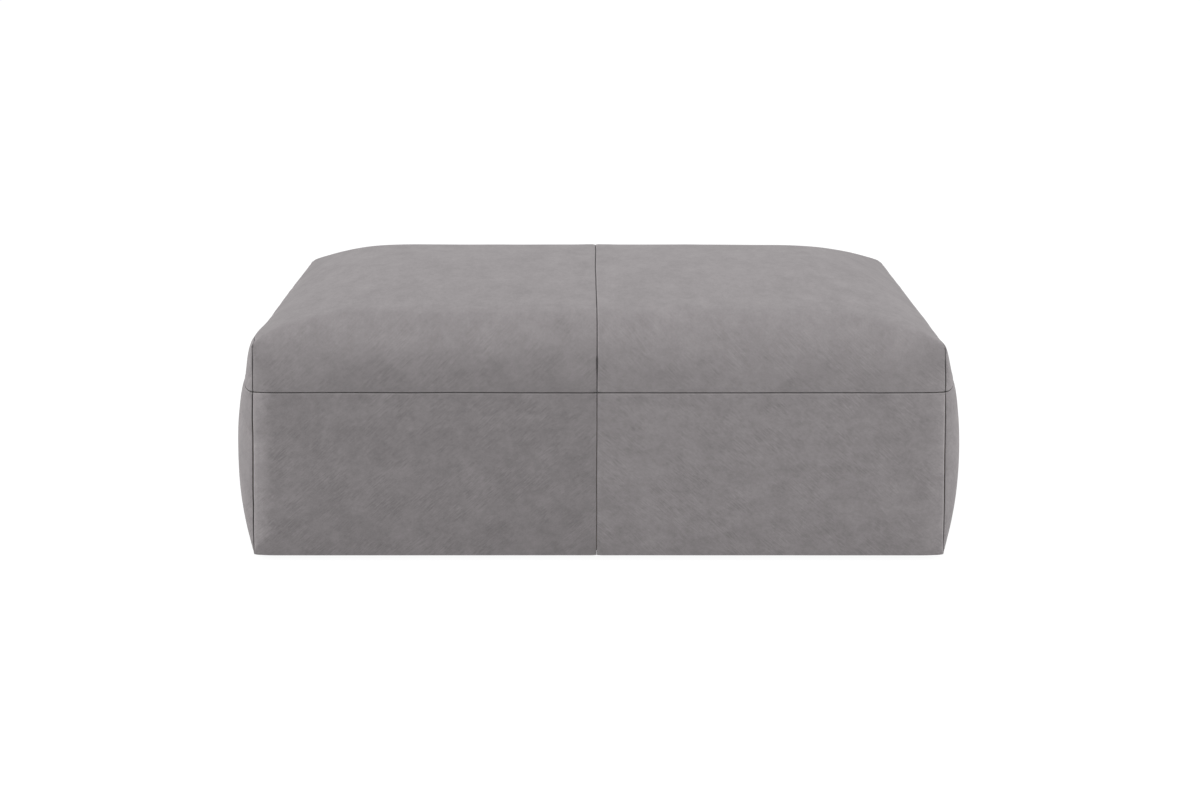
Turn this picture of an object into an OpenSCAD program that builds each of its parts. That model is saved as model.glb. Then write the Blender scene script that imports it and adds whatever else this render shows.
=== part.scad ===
// Upholstered footstool: a box frame, webbing, foam and a sewn cloth cover.
// X runs to the right, Y to the back and Z up. The origin is under the middle, on the floor.

/* [Cover outline] */
// Width between the left and right corner seams
seam_w = 1120; // [900:10:1400]
// Depth between the front and back corner seams
seam_d = 782; // [600:2:1000]
// Height of the waist seam above the underside of the cover
waist_h = 263; // [220:1:290]
// Height of the top's side edges above the underside of the cover
edge_h = 342; // [315:1:365]
// Height of the top, inside its rounded edges, above the underside of the cover
top_h = 381; // [350:1:430]
// Extra height in the middle of the top
crown_h = 8; // [0:1:30]
// How far the sides swell out past the corner seams
side_swell = 47.5; // [10:0.5:70]
// Height of the fullest part of a side above the underside of the cover
swell_h = 160; // [120:5:220]
// How far the front and back faces stand out past the corner seams
face_swell = 9; // [4:0.5:16]
// Distance from a corner seam over which a front or back face reaches its full swell
face_reach = 36; // [20:1:80]
// Distance from a side edge over which the top reaches its full height
top_reach = 260; // [150:10:400]
// Radius of the top's side edge where it turns down into a corner seam
ear_r = 30; // [20:1:40]
// Depth of the rounded front and back edges of the top
round_d = 95; // [50:1:140]
// Height above the waist seam at which the rounded edges start
round_low = 13; // [10:1:25]

/* [Cover cloth] */
// Thickness of the cloth with its lining
cloth_t = 2.4; // [1.5:0.1:3]
// Width of the hem turned under the frame
hem_w = 40; // [34:1:60]
// Outside radius of the fold into the hem
fold_r = 5; // [4:0.5:8]
// Depth of the groove along a seam
groove_d = 2; // [1:0.1:3]
// Distance from a seam to the edge of its groove
groove_w = 8; // [4:0.5:10]
// Gap between the two cloths at a seam
seam_gap = 0.4; // [0.2:0.1:1]

/* [Frame] */
// Thickness of the frame boards and the cross rail
board_t = 22; // [18:1:25]
// Depth of the frame's top below the waist seam
frame_drop = 12.6; // [8:0.2:30]
// Height of the cross rail
rail_h = 120; // [80:5:200]
// Width of the square corner blocks
block_w = 45; // [40:1:60]
// Depth of the corner blocks' tops below the frame's top
block_drop = 23; // [5:1:100]
// Length of a frame screw
screw_l = 60; // [50:5:80]
// Diameter of a frame screw
screw_d = 5; // [4:0.5:6]
// Frame screws in each corner joint
screw_count = 3; // [2:1:4]

/* [Webbing] */
// Width of a strap
strap_w = 70; // [50:5:80]
// Thickness of a strap
strap_t = 2; // [1.5:0.1:3]
// Straps that run from front to back
cross_count = 8; // [5:1:9]
// Straps that run from left to right
long_count = 5; // [3:1:6]

/* [Padding] */
// Thickness of the felt over the webbing
felt_t = 3; // [2:0.5:5]
// Radius of the foam core's front and back edges
core_r = 15; // [8:1:25]
// Thickness of the foam cap over the ends of the core
cap_end_t = 5; // [3:1:20]
// Distance of the core's front from the outside of the frame, filled by the foam cap
cap_front_t = 35; // [25:1:60]
// Thickness of the wadding
wadding_t = 6; // [3:0.5:9]
// Thickness of the front and back foam pads
face_pad_t = 12; // [6:1:20]
// Thickness of the side foam pads at the corner seams
side_pad_t = 10; // [6:1:20]

/* [Underside] */
// Thickness of the dust cover
dust_t = 0.8; // [0.4:0.1:1.5]
// Distance from the frame's outer face to the edge of the dust cover
dust_inset = 5; // [2:1:8]
// Height of a glide
glide_h = 11.2; // [8:0.2:25]
// Diameter of a glide
glide_d = 38; // [30:1:44]
// Distance of the two middle glides from the middle of the rail
glide_y = 250; // [150:5:270]
// Diameter of a glide screw
glide_screw_d = 4.5; // [3.5:0.5:5]
// Length of a glide screw
glide_screw_l = 32; // [25:1:45]

/* [Staples] */
// Width of a staple's crown
staple_w = 10; // [8:1:12]
// Thickness of the staple wire
staple_t = 0.8; // [0.6:0.1:1.2]
// Length of a staple's legs
staple_l = 10; // [8:1:14]
// Distance between underside staples
staple_pitch = 100; // [60:5:150]

/* [Hidden] */

// Shape of the curves: higher powers are flatter in the middle and steeper at the ends
face_power = 2;
top_power = 3;
swell_power_z = 3.4;
swell_power_y = 5.2;
swell_root = 0.7;

// Clearances: between soft pieces, under the cloth's grooves, in a hole, and of the cap over the core
soft_gap = 0.3;
cloth_gap = 0.9;
hole_gap = 0.1;
cap_gap = 0.5;

// Steps along the curved outlines
arc_steps = 4;
top_steps = 10;
side_steps = 8;
upper_steps = 3;
half_steps = 10;
pad_steps = 12;
round_fn = 48;

// Heights above the floor
cover_z = glide_h + dust_t;
waist_z = cover_z + waist_h;
edge_z = cover_z + edge_h;
top_z = cover_z + top_h;
round_h = top_h - waist_h - round_low;
frame_z = cover_z + cloth_t;
frame_top = waist_z - frame_drop;
board_h = frame_top - frame_z;
block_h = board_h - block_drop;
felt_z = frame_top + 2 * strap_t;
core_z = felt_z + felt_t;

// Half widths and half depths
seam_x = seam_w / 2;
seam_y = seam_d / 2;
lining = cloth_t + groove_d + cloth_gap;
frame_x = seam_x - lining - soft_gap - side_pad_t;
frame_y = seam_y + face_swell - lining - soft_gap - face_pad_t;
inner_x = frame_x - board_t;
inner_y = frame_y - board_t;
core_y = frame_y - cap_front_t;
block_x = inner_x - block_w / 2;
block_y = inner_y - block_w / 2;
wadding_inset = lining + wadding_t;
cap_inset = wadding_inset + soft_gap;

// Top of the foam core, under the ends of the foam cap
core_top = seat_top(draw_out(frame_x, seam_x, cap_inset)) - cap_inset - cap_gap - cap_end_t;

// Screws
screw_z_step = board_h / (screw_count + 1);
glide_recess = 3;
glide_places = [
    [block_x, block_y], [-block_x, block_y], [block_x, -block_y], [-block_x, -block_y],
    [0, glide_y], [0, -glide_y]
];

// Webbing and staples
cross_pitch = 2 * inner_x / cross_count;
long_pitch = 2 * inner_y / long_count;
cross_places = [for (i = [0:cross_count - 1]) (i - (cross_count - 1) / 2) * cross_pitch];
long_places = [for (i = [0:long_count - 1]) (i - (long_count - 1) / 2) * long_pitch];
strap_staple = strap_w / 4;
row_y = frame_y - board_t / 2;
row_x = frame_x - board_t / 2;
front_staples = [for (x = [staple_pitch / 2:staple_pitch:inner_x - staple_w]) x];
side_staples = [for (y = [staple_pitch / 2:staple_pitch:inner_y - staple_w]) each [-y, y]];

// Stations of the cover along X and of the padding along X
half_stations = concat(
    [seam_gap / 2, groove_w],
    [for (i = [1:half_steps - 1]) seam_x * sin(90 * i / half_steps)],
    [seam_x - seam_gap / 2]
);
pad_stations = [for (i = [0:pad_steps]) -frame_x * cos(180 * i / pad_steps)];

function mix(a, b, share) = a + (b - a) * share;

// Grows from 0 at the seam to 1 at the reach
function rise(d, reach, power) = 1 - pow(1 - min(max(d, 0) / reach, 1), power);

// Depth of a seam's groove at a distance from the seam
function dip(d) = groove_d * max(0, 1 - d / groove_w);

// Half depth of the front and back faces at a distance x from the middle
function face(x) = seam_y + face_swell * rise(seam_x - abs(x), face_reach, face_power);

// Outside of the right side at a depth y and a height z
function side(y, z) =
    let (
        v = z - cover_z,
        span = v < swell_h ? swell_h : edge_h - swell_h,
        up = 1 - pow(min(abs(v - swell_h) / span, 1), swell_power_z),
        across = pow(1 - pow(min(abs(y) / seam_y, 1), swell_power_y), swell_root)
    )
    seam_x + side_swell * across * up;

// Points (y, z) up the front, over the top and down the back of a rounded block
function block_outline(y, top, rd, rh, crown, low) =
    let (
        front = concat(
            [[-y, low]],
            [for (i = [0:arc_steps]) let (a = 90 * i / arc_steps)
                [-y + rd * (1 - cos(a)), top - rh + rh * sin(a)]]
        ),
        flat = y - rd,
        middle = [for (i = [1:top_steps - 1]) let (s = -cos(180 * i / top_steps))
            [flat * s, top + crown * (1 - s * s)]],
        last = len(front) - 1
    )
    concat(front, middle, [for (i = [last:-1:0]) [-front[i][0], front[i][1]]]);

// Outline of the seat at a distance x from the middle, t inside the outside of the cloth
function seat_outline(x, t, low) =
    let (
        share = rise(seam_x - abs(x), top_reach, top_power),
        inside = t + dip(abs(x)),
        rd = mix(ear_r, round_d, share) - inside,
        rh = mix(ear_r, round_h, share) - inside
    )
    block_outline(face(x) - inside, seat_top(x) - inside, rd, rh, crown_h * share, low);

// The same with the groove of the waist seam at both ends
function cover_outline(x, t) =
    let (
        body = seat_outline(x, t, waist_z + groove_w),
        y = face(x) - t - groove_d,
        z = waist_z + seam_gap / 2
    )
    concat([[-y, z]], body, [[y, z]]);

// Points round the fold under the frame, as the distance inwards from the face and the height
function fold(t) = [for (a = [90, 45, 0])
    [fold_r - (fold_r - t) * cos(a), cover_z + fold_r - (fold_r - t) * sin(a)]];

// Solid between two grids of points that have the same rows and columns
module slab(outer, inner) {
    rows = len(outer);
    cols = len(outer[0]);
    under = rows * cols;
    quads = concat(
        [for (r = [0:rows - 2], c = [0:cols - 2])
            [r * cols + c, r * cols + c + 1, (r + 1) * cols + c + 1, (r + 1) * cols + c]],
        [for (r = [0:rows - 2], c = [0:cols - 2])
            [under + r * cols + c, under + (r + 1) * cols + c,
                under + (r + 1) * cols + c + 1, under + r * cols + c + 1]],
        [for (r = [0:rows - 2])
            [r * cols, (r + 1) * cols, under + (r + 1) * cols, under + r * cols]],
        [for (r = [0:rows - 2]) let (a = r * cols + cols - 1, b = a + cols)
            [a, under + a, under + b, b]],
        [for (c = [0:cols - 2])
            [c, under + c, under + c + 1, c + 1]],
        [for (c = [0:cols - 2]) let (a = (rows - 1) * cols + c)
            [a, a + 1, under + a + 1, under + a]]
    );
    polyhedron(
        points = concat([for (row = outer) each row], [for (row = inner) each row]),
        faces = [for (q = quads) each [[q[0], q[1], q[2]], [q[0], q[2], q[3]]]]
    );
}

// A distance x or y along a panel, drawn in towards the middle as its corner moves in
function draw_in(v, corner, inward) = v * (corner - inward) / corner;

// The way back from a drawn in distance to the one as sewn
function draw_out(v, corner, inward) = v * corner / (corner - inward);

// Height of the seat at a distance x from the middle, without its crown
function seat_top(x) = mix(edge_z, top_z, rise(seam_x - abs(x), top_reach, top_power));

// Grid of the top cover's right half, t inside the outside of the cloth
function top_grid(t) = [for (x = half_stations)
    let (outline = cover_outline(x, t), last = len(outline) - 1)
    [for (i = [0:last])
        [draw_in(x, seam_x, i == 0 || i == last ? t + groove_d : t), outline[i][0], outline[i][1]]]];

// Grid of the front cover's right half below the waist seam
function front_grid(t) =
    let (z = waist_z - seam_gap / 2)
    [for (x = half_stations)
        let (out = face(x) - dip(x))
        concat(
            [[draw_in(x, seam_x, hem_w), -(seam_y - hem_w), cover_z + t]],
            [for (p = fold(t)) [draw_in(x, seam_x, p[0]), p[0] - out, p[1]]],
            [[draw_in(x, seam_x, t), t - out, waist_z - groove_w],
                [draw_in(x, seam_x, t + groove_d), t + groove_d - face(x), z]]
        )];

// Depths and heights along the right side's top edge, t inside the outside of the cloth
function edge_points(t) =
    let (all = block_outline(seam_y - t, edge_z - t, ear_r - t, ear_r - t, 0, waist_z))
    [for (i = [1:len(all) - 2]) all[i]];

// Columns of the right side: depth as sewn, depth and top height inside by t, depth in the waist's groove
function columns(t) =
    let (
        sewn = edge_points(seam_gap / 2),
        inside = edge_points(t + seam_gap / 2),
        groove = edge_points(t + groove_d + seam_gap / 2)
    )
    [for (i = [0:len(sewn) - 1]) [sewn[i][0], inside[i][0], inside[i][1], groove[i][0]]];

// Grid of the right side above the waist seam
function upper_grid(t) =
    let (low = waist_z + seam_gap / 2)
    [for (c = columns(t))
        concat(
            [[side(c[0], low) - t - groove_d, c[3], low]],
            [for (i = [0:upper_steps]) let (z = mix(low + groove_w, c[2], i / upper_steps))
                [side(c[0], z) - t, c[1], z]]
        )];

// Grid of the right side below the waist seam
function lower_grid(t) =
    let (low = cover_z + fold_r, high = waist_z - groove_w)
    [for (c = columns(t))
        concat(
            [[seam_x - hem_w, draw_in(c[0], seam_y, hem_w), cover_z + t]],
            [for (p = fold(t)) [side(c[0], low) - p[0], draw_in(c[0], seam_y, p[0]), p[1]]],
            [for (i = [1:side_steps]) let (z = mix(low, high, i / side_steps))
                [side(c[0], z) - t, c[1], z]],
            [[side(c[0], waist_z) - t - groove_d, c[3], waist_z - seam_gap / 2]]
        )];

// Cross section of the seat's padding at x, t inside the outside of the cloth
function padding_row(x, t, low) =
    [for (p = seat_outline(draw_out(x, seam_x, t), t, low)) [x, p[0], p[1]]];

// One staple with its crown on z = 0 and its legs down, or only the legs grown for their slots
module staple(grow = 0) {
    if (grow == 0)
        translate([-staple_w / 2, -staple_t / 2, 0]) cube([staple_w, staple_t, staple_t]);
    for (x = [-1, 1])
        translate([x * (staple_w - staple_t) / 2, 0, -staple_l / 2])
            cube([staple_t + grow, staple_t + grow, staple_l + grow], center = true);
}

// Staples through the front hem, right half
module front_hem_staples(grow = 0) {
    for (x = front_staples)
        translate([x, -row_y, cover_z - dust_t]) rotate([180, 0, 0]) staple(grow);
}

// Staples through the right hem
module side_hem_staples(grow = 0) {
    for (y = side_staples)
        translate([row_x, y, cover_z - dust_t]) rotate([180, 0, 90]) staple(grow);
}

// All staples through the hem and the dust cover
module hem_staples(grow = 0) {
    for (mx = [0, 1]) mirror([mx, 0, 0]) {
        for (my = [0, 1]) mirror([0, my, 0]) front_hem_staples(grow);
        side_hem_staples(grow);
    }
}

// Staples at the ends of the cross straps, on the front board
module cross_end_staples(grow = 0) {
    for (x = cross_places, side = [-1, 1])
        translate([x + side * strap_staple, -row_y, frame_top + strap_t]) staple(grow);
}

// Staples at the ends of the long straps, on the right board
module long_end_staples(grow = 0) {
    for (y = long_places, side = [-1, 1])
        translate([row_x, y + side * strap_staple, frame_top + strap_t])
            rotate([0, 0, 90]) staple(grow);
}

// One countersunk screw along +Z with its head's face on z = 0
module screw(d, l, grow = 0) {
    r = d / 2 + grow;
    rotate_extrude($fn = round_fn)
        polygon([[0, 0], [2 * r, 0], [r, r], [r, l - d], [grow > 0 ? r : r / 3, l + grow], [0, l + grow]]);
}

// Screws through the front board into the right side board and, on the middle, into the rail
module front_screws(grow = 0) {
    for (i = [1:screw_count])
        translate([row_x, -frame_y, frame_z + i * screw_z_step])
            rotate([-90, 0, 0]) screw(screw_d, screw_l, grow);
}

module rail_screws(grow = 0) {
    for (share = [0.25, 0.75])
        translate([0, -frame_y, frame_z + share * rail_h])
            rotate([-90, 0, 0]) screw(screw_d, screw_l, grow);
}

module all_frame_screws(grow = 0) {
    for (my = [0, 1]) mirror([0, my, 0]) {
        for (mx = [0, 1]) mirror([mx, 0, 0]) front_screws(grow);
        rail_screws(grow);
    }
}

// Glide screws from the glides up into the corner blocks and the rail
module all_glide_screws(grow = 0) {
    for (p = glide_places)
        translate([p[0], p[1], glide_recess]) screw(glide_screw_d, glide_screw_l, grow);
}

module cloth_colour() {
    color([0.6, 0.58, 0.585]) children();
}

module wood_colour() {
    color([0.83, 0.7, 0.5]) children();
}

module foam_colour() {
    color([0.93, 0.9, 0.8]) children();
}

module steel_colour() {
    color([0.72, 0.73, 0.75]) children();
}

module top_cover_right() {
    cloth_colour() slab(top_grid(0), top_grid(cloth_t));
}

module top_cover_left() {
    mirror([1, 0, 0]) top_cover_right();
}

module front_cover_right() {
    cloth_colour() difference() {
        slab(front_grid(0), front_grid(cloth_t));
        front_hem_staples(hole_gap);
    }
}

module front_cover_left() {
    mirror([1, 0, 0]) front_cover_right();
}

module back_cover_right() {
    mirror([0, 1, 0]) front_cover_right();
}

module back_cover_left() {
    mirror([1, 0, 0]) back_cover_right();
}

module right_cover_upper() {
    cloth_colour() slab(upper_grid(0), upper_grid(cloth_t));
}

module left_cover_upper() {
    mirror([1, 0, 0]) right_cover_upper();
}

module right_cover_lower() {
    cloth_colour() difference() {
        slab(lower_grid(0), lower_grid(cloth_t));
        side_hem_staples(hole_gap);
    }
}

module left_cover_lower() {
    mirror([1, 0, 0]) right_cover_lower();
}

module front_frame_board() {
    wood_colour() difference() {
        translate([-frame_x, -frame_y, frame_z]) cube([2 * frame_x, board_t, board_h]);
        for (mx = [0, 1]) mirror([mx, 0, 0]) {
            front_screws(hole_gap);
            front_hem_staples(hole_gap);
        }
        rail_screws(hole_gap);
        cross_end_staples(hole_gap);
    }
}

module back_frame_board() {
    mirror([0, 1, 0]) front_frame_board();
}

module right_frame_board() {
    wood_colour() difference() {
        translate([inner_x, -inner_y, frame_z]) cube([board_t, 2 * inner_y, board_h]);
        for (my = [0, 1]) mirror([0, my, 0]) front_screws(hole_gap);
        side_hem_staples(hole_gap);
        long_end_staples(hole_gap);
    }
}

module left_frame_board() {
    mirror([1, 0, 0]) right_frame_board();
}

module centre_cross_rail() {
    wood_colour() difference() {
        translate([-board_t / 2, -inner_y, frame_z]) cube([board_t, 2 * inner_y, rail_h]);
        for (my = [0, 1]) mirror([0, my, 0]) rail_screws(hole_gap);
        all_glide_screws(hole_gap);
    }
}

module corner_block(right, back) {
    wood_colour() difference() {
        translate([right * block_x - block_w / 2, back * block_y - block_w / 2, frame_z])
            cube([block_w, block_w, block_h]);
        all_glide_screws(hole_gap);
    }
}

module frame_screws() {
    steel_colour() all_frame_screws();
}

module cross_webbing() {
    color([0.25, 0.24, 0.22]) difference() {
        for (x = cross_places)
            translate([x - strap_w / 2, -frame_y, frame_top]) cube([strap_w, 2 * frame_y, strap_t]);
        for (my = [0, 1]) mirror([0, my, 0]) cross_end_staples(hole_gap);
    }
}

// Side view of a long strap that goes over the first cross strap when over is 1, under when -1
module woven_line(over) {
    rest = strap_w / 2 + 2;
    line = concat(
        [[-frame_x, 0], [-inner_x, 0]],
        [for (i = [0:cross_count - 1], s = [-1, 1])
            [cross_places[i] + s * rest, over * (i % 2 == 0 ? 1 : -1) * strap_t]],
        [[inner_x, 0], [frame_x, 0]]
    );
    last = len(line) - 1;
    polygon(concat(line, [for (i = [last:-1:0]) [line[i][0], line[i][1] + strap_t]]));
}

module long_webbing() {
    color([0.25, 0.24, 0.22]) difference() {
        for (i = [0:long_count - 1])
            translate([0, long_places[i] + strap_w / 2, frame_top]) rotate([90, 0, 0])
                linear_extrude(strap_w) woven_line(i % 2 == 0 ? 1 : -1);
        for (mx = [0, 1]) mirror([mx, 0, 0]) long_end_staples(hole_gap);
    }
}

module webbing_staples() {
    steel_colour() {
        for (my = [0, 1]) mirror([0, my, 0]) cross_end_staples();
        for (mx = [0, 1]) mirror([mx, 0, 0]) long_end_staples();
    }
}

module seat_felt() {
    color([0.45, 0.46, 0.45])
        translate([-frame_x, -frame_y, felt_z]) cube([2 * frame_x, 2 * frame_y, felt_t]);
}

module seat_foam_core() {
    core_t = core_top - core_z;
    foam_colour() translate([-frame_x, 0, 0]) rotate([90, 0, 90]) linear_extrude(2 * frame_x) {
        translate([-core_y, core_z]) square([2 * core_y, core_t - core_r]);
        translate([-core_y + core_r, core_z]) square([2 * (core_y - core_r), core_t]);
        for (s = [-1, 1])
            translate([s * (core_y - core_r), core_top - core_r]) circle(core_r, $fn = round_fn);
    }
}

module seat_foam_cap() {
    low = core_z + soft_gap;
    outer = [for (x = pad_stations) padding_row(x, cap_inset, low)];
    hollow = block_outline(core_y + cap_gap, core_top + cap_gap, core_r, core_r, 0, low);
    inner = [for (x = pad_stations) [for (p = hollow) [x, p[0], p[1]]]];
    foam_colour() slab(outer, inner);
}

module seat_wadding() {
    low = core_z + soft_gap;
    outer = [for (x = pad_stations) padding_row(x, lining, low)];
    inner = [for (x = pad_stations) padding_row(x, wadding_inset, low)];
    color([0.95, 0.95, 0.94]) slab(outer, inner);
}

module right_foam_pad() {
    back_x = frame_x + soft_gap;
    low = cover_z + fold_r;
    outer = [for (c = columns(lining))
        [for (i = [0:side_steps]) let (z = mix(low, c[2], i / side_steps))
            [side(c[0], z) - lining, c[1], z]]];
    inner = [for (row = outer) [for (p = row) [back_x, p[1], p[2]]]];
    foam_colour() slab(outer, inner);
}

module left_foam_pad() {
    mirror([1, 0, 0]) right_foam_pad();
}

module front_foam_pad() {
    heights = [cover_z + fold_r, felt_z - soft_gap];
    outer = [for (x = pad_stations) let (y = face(draw_out(x, seam_x, lining)) - lining)
        [for (z = heights) [x, -y, z]]];
    inner = [for (x = pad_stations) [for (z = heights) [x, -(frame_y + soft_gap), z]]];
    foam_colour() slab(outer, inner);
}

module back_foam_pad() {
    mirror([0, 1, 0]) front_foam_pad();
}

module dust_cover() {
    half_x = frame_x - dust_inset;
    half_y = frame_y - dust_inset;
    color([0.12, 0.12, 0.12]) difference() {
        translate([-half_x, -half_y, glide_h]) cube([2 * half_x, 2 * half_y, dust_t]);
        hem_staples(hole_gap);
        all_glide_screws(hole_gap);
    }
}

module underside_staples() {
    steel_colour() hem_staples();
}

module glides() {
    r = glide_d / 2;
    edge = 2;
    color([0.1, 0.1, 0.1]) difference() {
        for (p = glide_places)
            translate([p[0], p[1], 0]) rotate_extrude($fn = round_fn)
                polygon([[0, 0], [r - edge, 0], [r, edge], [r, glide_h], [0, glide_h]]);
        all_glide_screws(hole_gap);
        for (p = glide_places)
            translate([p[0], p[1], -1])
                cylinder(r = glide_screw_d + hole_gap, h = glide_recess + 1, $fn = round_fn);
    }
}

module glide_screws() {
    steel_colour() all_glide_screws();
}

top_cover_left();
top_cover_right();
front_cover_left();
front_cover_right();
back_cover_left();
back_cover_right();
left_cover_upper();
left_cover_lower();
right_cover_upper();
right_cover_lower();
front_frame_board();
back_frame_board();
left_frame_board();
right_frame_board();
centre_cross_rail();
corner_block(-1, -1);  // corner_block_front_left
corner_block(1, -1);  // corner_block_front_right
corner_block(-1, 1);  // corner_block_back_left
corner_block(1, 1);  // corner_block_back_right
frame_screws();
cross_webbing();
long_webbing();
webbing_staples();
seat_felt();
seat_foam_core();
seat_foam_cap();
seat_wadding();
left_foam_pad();
right_foam_pad();
front_foam_pad();
back_foam_pad();
dust_cover();
underside_staples();
glides();
glide_screws();
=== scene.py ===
import math
import time

import bpy
import numpy as np
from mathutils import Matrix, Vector


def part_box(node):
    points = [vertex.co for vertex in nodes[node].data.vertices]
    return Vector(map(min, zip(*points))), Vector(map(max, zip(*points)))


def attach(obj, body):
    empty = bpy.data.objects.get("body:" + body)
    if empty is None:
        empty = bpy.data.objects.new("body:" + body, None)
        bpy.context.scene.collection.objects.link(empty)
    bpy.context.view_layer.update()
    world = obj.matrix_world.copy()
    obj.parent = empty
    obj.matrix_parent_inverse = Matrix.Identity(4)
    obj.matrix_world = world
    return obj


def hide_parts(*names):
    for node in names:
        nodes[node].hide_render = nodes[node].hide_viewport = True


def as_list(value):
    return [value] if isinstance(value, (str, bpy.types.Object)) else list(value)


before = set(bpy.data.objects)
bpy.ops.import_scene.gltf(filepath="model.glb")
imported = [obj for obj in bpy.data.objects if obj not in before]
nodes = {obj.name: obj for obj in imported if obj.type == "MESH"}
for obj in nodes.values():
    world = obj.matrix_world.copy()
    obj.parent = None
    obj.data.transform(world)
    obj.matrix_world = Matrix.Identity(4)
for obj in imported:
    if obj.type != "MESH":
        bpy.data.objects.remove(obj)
scene = bpy.context.scene
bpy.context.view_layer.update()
startTime = time.time()


def report(text):
    print(f"{time.time() - startTime:6.1f} s  {text}", flush=True)


# Camera

view = {
    "eye": (-0.0147, -3.5482, 1.0737),
    "tilt": 10.284,       # degrees below the horizon
    "lens": 60.92,        # millimetres
    "sensor": 36,
    "shiftX": 0.0086,     # the photograph is cropped a little off its own middle
    "shiftY": -0.12,      # keeps the corner seams close to upright
}

cameraData = bpy.data.cameras.new("camera")
cameraData.sensor_width = view["sensor"]
cameraData.lens = view["lens"]
cameraData.shift_x = view["shiftX"]
cameraData.shift_y = view["shiftY"]
camera = bpy.data.objects.new("camera", cameraData)
camera.location = view["eye"]
camera.rotation_euler = (math.radians(90 - view["tilt"]), 0, 0)
scene.collection.objects.link(camera)
scene.camera = camera


# Shape of the sewn cover, in metres: X to the right, Y to the back, Z up from the floor

cover = {
    "seamX": 0.556,         # half the width between the corner seams
    "seamY": 0.396,         # half the depth between the corner seams
    "bottom": 0.012,        # underside
    "waist": 0.2805,        # height of the waist seam
    "edge": 0.357,          # height of the top's side edges
    "top": 0.397,           # height of the top inside its rounded edges
    "crown": 0.008,         # extra height in the middle of the top
    "sideSwell": 0.0475,    # how far the sides stand out past the corner seams
    "swellAbove": (2.3, 1.0),     # how full the sides stay towards their top, and how late they round in
    "swellCorner": (1.6, 0.55),   # the same beside the upper corners
    "swellBelow": (2.3, 0.52),    # and towards the floor
    "swellAcross": (5.2, 0.7),    # and towards the corner seams
    "cornerFrom": 0.80,     # share of the half depth at which the corners begin
    "cornerOver": 0.15,     # and over which they come in
    "swellZ": 0.172,        # height of the fullest part of a side
    "faceSwell": 0.004,     # how far the front and back stand out past the corner seams
    "faceReach": 0.036,     # distance from a corner seam to the full face
    "topReach": 0.240,      # distance from a side edge to the full height
    "earFront": 0.006,      # corners of the side panels
    "earBack": 0.055,
    "roundDepth": 0.095,    # rounded front and back edges of the top
    "roundHeight": 0.105,
    "roundReach": (0.085, 0.150),    # distance from a side edge to the full rounding in front and at the back
    "soften": 0.013,        # how far the foam rounds off the outline's bends in the middle
    "softenEdge": 0.0015,   # and at the side edges
    "softenReach": 0.070,   # distance from a side edge to the full softening
    "taper": 0.013,         # how much wider the body sits at the floor than at the top, as a share
    "lean": 0.0024,         # how much higher the left side edge is padded than the right one
    "leanDepth": 0.6,       # how far behind the middle that ends
    "leanFade": 0.07,       # height above the waist over which it comes in
    "fullLeft": 0.0020,     # how much further out the left edge stands
    "fullFront": 0.0040,    # and how much more behind its front corner
    "fullAt": (0.30, 0.07),      # how far in front of the middle that is, and its width
    "fullEnd": (0.34, 0.04),     # where both end towards the corner, and over how much
    "fullFade": (0.01, 0.05),    # height above the waist at which both begin, and over how much
    "drift": -0.0035,       # how far the middle seam is sewn off the middle
    "waves": ((0.0009, 0.23, 20), (0.00045, 0.075, 30)),     # waves of the padding: height, size and seed
    "waveFade": 0.05,       # height above the floor over which they come in
}

cloth = {
    "thickness": 0.0015,
    "seamGap": 0.0002,      # from a seam's line to the cloth's edge
    "rollRadius": 0.0015,   # how tightly the cloth turns into a seam
    "pull": 0.0010,         # how far a seam draws the padding in
    "pullReach": 0.0065,
    "ridge": 0.0003,        # lift of the seam allowance under the cloth
    "ridgeAt": 0.0065,
    "ridgeWidth": 0.0034,
    "uneven": (0.6, 0.5, 0.5),     # how much the pull, its reach and the ridge vary
    "unevenWaves": ((1.0, 0.030, 7), (0.7, 0.080, 8)),       # strength, size and seed of that
    "turnReach": 0.010,     # distance over which a cloth turns to its seam's direction
    "deepest": 0.0036,
    "hem": 0.040,
    "hemDrop": 0.0027,      # how far the folded edge hangs below the frame
    "hemSeam": 0.4,         # share of a seam's depth at the folded edge
    "hemSeamFade": 0.015,   # height over which it becomes full
    "topStretch": 0.38,     # the brushed pattern is this much coarser front to back on top
    "patternApart": 3.7,    # distance between the patterns of the panels
    "foldRadius": 0.002,
    "foldLines": 7,
    "step": 0.0065,         # mesh spacing away from the seams
    "earStep": 0.005,       # and along the upright corner seams above the waist
    "earSeam": 0.064,       # length of those
    "fineShare": 0.42,      # most of a length that the close lines at one end take
}

# Distances of the close lines from a seam
fineSteps = np.array([0, 0.1, 0.35, 0.8, 1.4, 2.1, 3, 4, 5.2, 6.8, 8.8, 11.5, 15, 19.5, 25]) / 1000
# Points in the raw curves of an outline, before they are spaced anew
rawPoints = {"turn": 90, "upright": 40, "across": 500, "even": 1000}


def mix(a, b, share):
    return a + (b - a) * share


def smooth(value):
    value = np.clip(value, 0, 1)
    return value * value * (3 - 2 * value)


def unit(vectors):
    return vectors / np.maximum(np.linalg.norm(vectors, axis=-1, keepdims=True), 1e-12)


def rise(distance, reach, power):
    return 1 - (1 - np.clip(distance / reach, 0, 1)) ** power


def faceDepth(x):
    return cover["seamY"] + cover["faceSwell"] * rise(cover["seamX"] - np.abs(x), cover["faceReach"], 2)


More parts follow.
